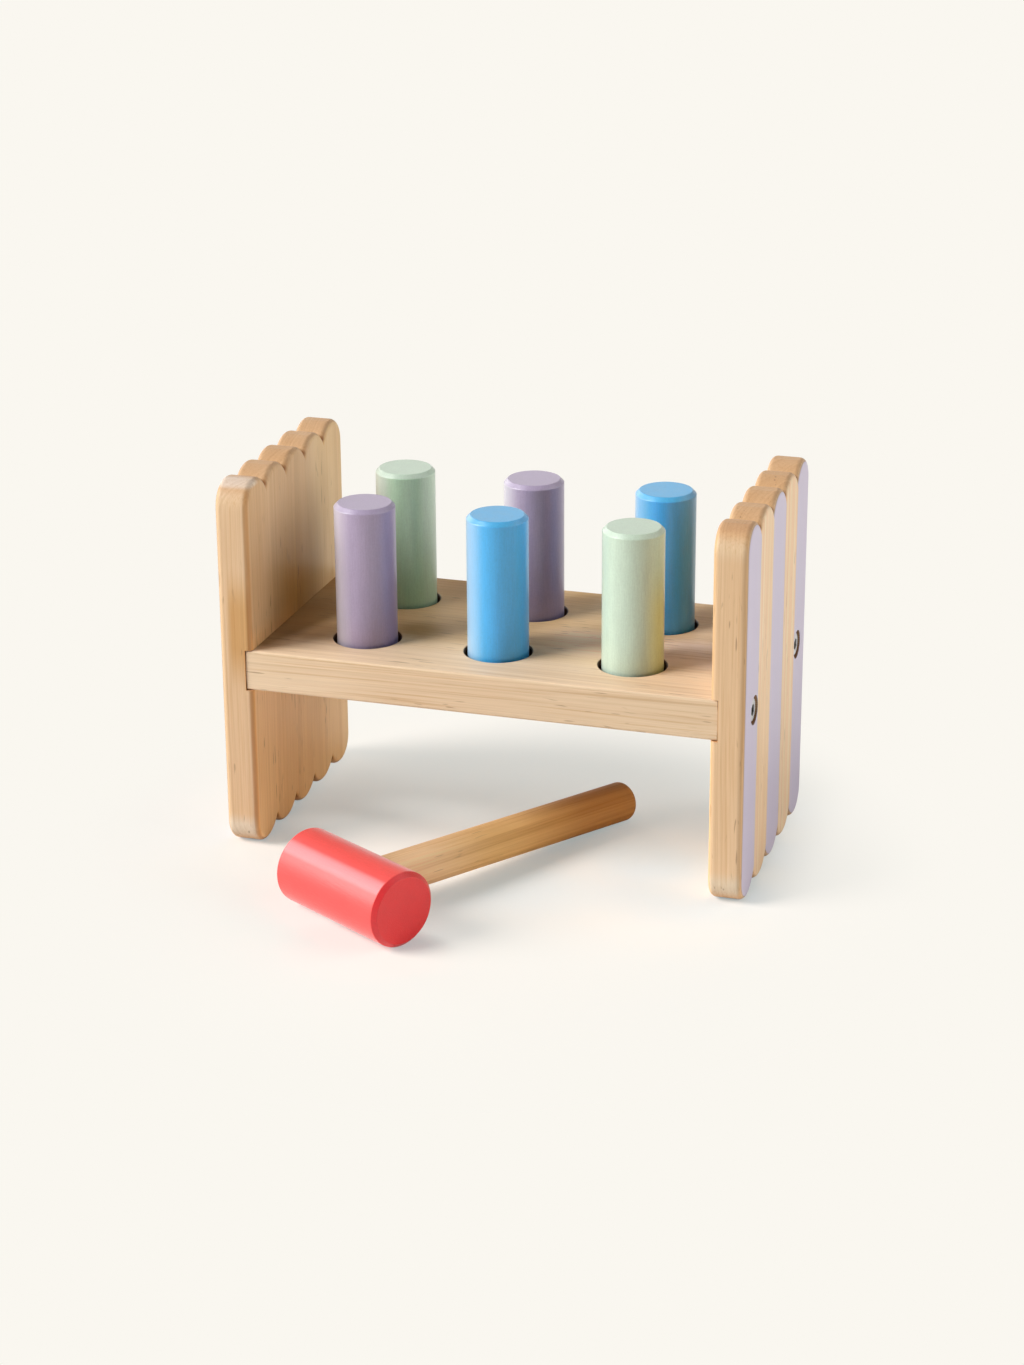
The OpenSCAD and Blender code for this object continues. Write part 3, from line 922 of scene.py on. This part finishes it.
def finish_plain(name, colour, roughness, metal, size, patches_over=None):
    """A material whose tone and sheen change softly over a given size in millimetres."""
    made, tree = empty_finish(name)
    place = trunk_place(tree, (0.0, 0.0, 0.0), GRAIN_UP)
    cloudy = cloud(tree, place, size, size, 3.0)[0]
    tone = span(tree, cloudy, *NOISE_SWING, 0.85, 1.1)
    inputs = {0: colour[:3], "Scale": tone}
    tinted = put(tree, "VectorMath", inputs, operation="SCALE").outputs[0]
    if patches_over:
        tinted = patches_over(tree, tinted)
    sheen = span(tree, cloudy, *NOISE_SWING, roughness - 0.05, roughness + 0.08)
    inputs = {"Height": cloudy, "Strength": 0.3, "Distance": PLAIN_RELIEF}
    bump = put(tree, "Bump", inputs).outputs[0]
    inputs = {"Base Color": tinted, "Roughness": sheen, "Metallic": metal, "Normal": bump}
    shader = put(tree, "BsdfPrincipled", inputs)
    put(tree, "OutputMaterial", {"Surface": shader.outputs[0]})
    print("plain finish:", name, len(tree.nodes), "nodes")
    return made


# %% [markdown]
# ## Zinc and rubber
# The zinc is dulled by handling, and the hexagon sockets are painted darker as shade. The socket is
# found by its place: near the screw's axis and below its face. The rubber rings sit deep in the
# holes and only show as black when a peg is out.

# %% Dress the screws and the rings
SCREW_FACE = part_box("screw_right_front")[1].x
SOCKET_REACH = 0.00292
# Painted shade in the hexagon sockets.
SOCKET_SHADE = rgb(0.33, 0.34, 0.35)
ZINC = rgb(0.66, 0.67, 0.68)
RUBBER = rgb(0.03, 0.03, 0.03)


def socket_shade(tree, colour):
    """Painted shade in the hexagon socket, which lies round the screw's axis below its face."""
    within = span(tree, from_screw(tree), SOCKET_REACH, SOCKET_REACH + 0.00008, *FALLING)
    out = sum_of(tree, "ABSOLUTE", parts_of(tree, own_place(tree))[0])
    sunk = span(tree, out, SCREW_FACE - 0.0008, SCREW_FACE - 0.0002, *FALLING)
    return toned(tree, colour, product(tree, within, sunk), SOCKET_SHADE)


zinc = finish_plain("zinc_plating", ZINC, 0.34, 1.0, 0.8, socket_shade)
rubber = finish_plain("ring_rubber", RUBBER, 0.75, 0.0, 0.5)
for end in PANEL_LOOKS:
    dress(zinc, "screw_" + end + "_front", "screw_" + end + "_back")
for peg in PEG_LOOKS:
    dress(rubber, "grip_ring_" + peg)
print("dressed:", len(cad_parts), "pieces")

# %% [markdown]
# ## The floor
# A plain cream floor runs out of sight in every direction, so it is the background too. Near the
# bench a share of its look comes from the lamps and from a glow of its own, so that the shadows
# stay light and grey. The rest, and all of it further out, is an even cream. The share is less
# at the front, the back and the right, where shadows are faint, but full beside the mallet's
# head, and a few spots have a little less of it or a cooler tone. Light that bounces off the
# floor onto the bench meets a plain matt surface.

# %% Choose the floor's colours and places
CREAM = rgb(0.956, 0.930, 0.871)
FLOOR_LIT = rgb(0.715, 0.615, 0.540)
FLOOR_GLOW = rgb(0.241, 0.315, 0.331)
FLOOR_BOUNCE = rgb(0.95, 0.92, 0.87)
FLOOR_SIZE = 40.0
ORIGIN = (0.0, 0.0, 0.0)
SHADOW_REACH = (0.19, 0.21, 1.0)
HEAD_SHADOW = (-0.022, -0.100, 0.0)
HEAD_SHADOW_REACH = (0.050, 0.036, 1.0)
SHARE_ZONES = (
    ("away", 0.55, 1.1, *FALLING),
    ("y", 0.02, 0.12, 1.0, 0.66),
    ("x", 0.110, 0.150, 1.0, 0.40),
)
FRONT_ZONE = ("y", -0.090, -0.045, 0.5, 1.0)
HEAD_ZONE = ("from_head", 0.5, 1.2, *FALLING)
# The bright spots lift the shadow in them, as painted light on the floor, and the cooled spots paint
# out warm light bounced onto the floor.
BRIGHT_SPOTS = (
    ((0.022, -0.060, 0.0), (0.036, 0.024, 1.0)),
    ((-0.070, 0.020, 0.0), (0.036, 0.018, 1.0)),
    ((-0.040, 0.048, 0.0), (0.040, 0.020, 1.0)),
)
SPOT_SHARE = 0.76
COOLED_SPOTS = (
    ((0.090, -0.002, 0.0), (0.042, 0.042, 1.0), rgb(0.83, 0.90, 0.98)),
    ((-0.038, -0.090, 0.0), (0.056, 0.025, 1.0), rgb(0.89, 1.0, 1.0)),
    ((0.006, -0.020, 0.0), (0.062, 0.036, 1.0), rgb(0.90, 0.98, 1.06)),
    ((0.066, 0.024, 0.0), (0.036, 0.026, 1.0), rgb(0.92, 0.99, 1.06)),
)


def floor_share(tree, place):
    """How much of the floor's look comes from the lamps and its glow, from 0 to 1."""
    parts = parts_of(tree, place)
    measures = {
        "x": parts[0],
        "y": parts[1],
        "away": away_from(tree, place, ORIGIN, SHADOW_REACH),
        "from_head": away_from(tree, place, HEAD_SHADOW, HEAD_SHADOW_REACH),
    }
    in_front = amount_in(tree, measures, (FRONT_ZONE,))
    by_head = amount_in(tree, measures, (HEAD_ZONE,))
    in_front = sum_of(tree, "MAXIMUM", in_front, by_head)
    share = product(tree, amount_in(tree, measures, SHARE_ZONES), in_front)
    for spot, reach in BRIGHT_SPOTS:
        away = away_from(tree, place, spot, reach)
        share = product(tree, share, span(tree, away, 0.2, 1.2, SPOT_SHARE, 1.0))
    return share


def floor_colour(tree, place):
    """The colour that the lamps find on the floor, with its cooled spots."""
    colour = FLOOR_LIT
    for spot, reach, tone in COOLED_SPOTS:
        close = span(tree, away_from(tree, place, spot, reach), 0.3, 1.2, *FALLING)
        colour = toned(tree, colour, close, tone)
    return colour


print("spots on the floor:", len(BRIGHT_SPOTS), "bright and", len(COOLED_SPOTS), "cooled")

# %% [markdown]
# ## Laying the floor
# The floor is one large plane under the bench. Its material mixes the lamps' share with the even
# cream for the camera, and gives all other rays a matt surface.

# %% Lay the floor
for one in list(bpy.context.selected_objects):
    one.select_set(False)
bpy.ops.mesh.primitive_plane_add(size=FLOOR_SIZE, location=ORIGIN)
floor = bpy.context.object
floor.name = "floor"
floor_finish, tree = empty_finish("cream_floor")
place = own_place(tree)
lit = put(tree, "BsdfDiffuse", {"Color": floor_colour(tree, place)}).outputs[0]
glow = put(tree, "Emission", {"Color": FLOOR_GLOW, "Strength": 1.0}).outputs[0]
near = put(tree, "AddShader", {0: lit, 1: glow}).outputs[0]
even = put(tree, "Emission", {"Color": CREAM, "Strength": 1.0}).outputs[0]
pictured = put(tree, "MixShader", {0: floor_share(tree, place), 1: even, 2: near}).outputs[0]
bounced = put(tree, "BsdfDiffuse", {"Color": FLOOR_BOUNCE}).outputs[0]
seen = put(tree, "LightPath").outputs["Is Camera Ray"]
mixed = put(tree, "MixShader", {0: seen, 1: bounced, 2: pictured}).outputs[0]
put(tree, "OutputMaterial", {"Surface": mixed})
floor.data.materials.append(floor_finish)
print("floor:", FLOOR_SIZE, "m wide,", len(tree.nodes), "nodes")

# %% [markdown]
# ## The room
# The bench stands in a pale room, which adds a little light from all round. The camera and
# transmitted light see it as cream, like the floor, and reflections see it a little dimmer. So
# the light that the room gives and the look that it has are two backgrounds, mixed by the ray.

# %% Light the room
ROOM_LIGHT = 0.06
MIRRORED = 0.8
WHITE = rgb(1.0, 1.0, 1.0)

world = bpy.data.worlds.new("pale_room")
bpy.context.scene.world = world
world.use_nodes = True
tree = world.node_tree
tree.nodes.clear()
path = put(tree, "LightPath").outputs
shown = sum_of(tree, "MAXIMUM", path["Is Camera Ray"], path["Is Transmission Ray"])
shown = sum_of(tree, "MULTIPLY_ADD", path["Is Glossy Ray"], MIRRORED, shown)
lit = put(tree, "Background", {"Color": WHITE, "Strength": ROOM_LIGHT}).outputs[0]
pale = put(tree, "Background", {"Color": CREAM, "Strength": 1.0}).outputs[0]
room = put(tree, "MixShader", {0: shown, 1: lit, 2: pale}).outputs[0]
put(tree, "OutputWorld", {"Surface": room})
print("room:", ROOM_LIGHT, "on the bench,", MIRRORED, "in reflections")

# %% [markdown]
# ## The lamps
# Two large soft lamps stand on the left and a little in front, one above the other. A third fills
# in low from the right, with the widest spread, and a weak one behind on the left gives the pegs
# a rim. Each lamp's level is what it gives a level surface. Together with the room they light a
# level white one to about white, so that a colour comes out about as it is written.

# %% Set up the lamps
LAMPS = {
    "key": {"level": 0.37, "side": -149.0, "height": 40.0, "spread": 28.0},
    "low": {"level": 0.37, "side": -153.0, "height": 27.0, "spread": 38.0},
    "rim": {"level": 0.04, "side": 140.0, "height": 22.0, "spread": 30.0},
    "right": {"level": 0.17, "side": 12.0, "height": 21.0, "spread": 60.0},
}

for name, lamp in LAMPS.items():
    height = math.radians(lamp["height"])
    sun = bpy.data.lights.new(name + "_lamp", "SUN")
    sun.angle = math.radians(lamp["spread"])
    sun.energy = lamp["level"] * math.pi / math.sin(height)
    stand = bpy.data.objects.new(name + "_lamp", sun)
    bpy.context.scene.collection.objects.link(stand)
    turned = Matrix.Rotation(math.radians(lamp["side"]) + math.pi / 2, 4, "Z")
    stand.matrix_world = turned @ Matrix.Rotation(math.pi / 2 - height, 4, "X")
    print(name, "lamp:", round(sun.energy, 2))
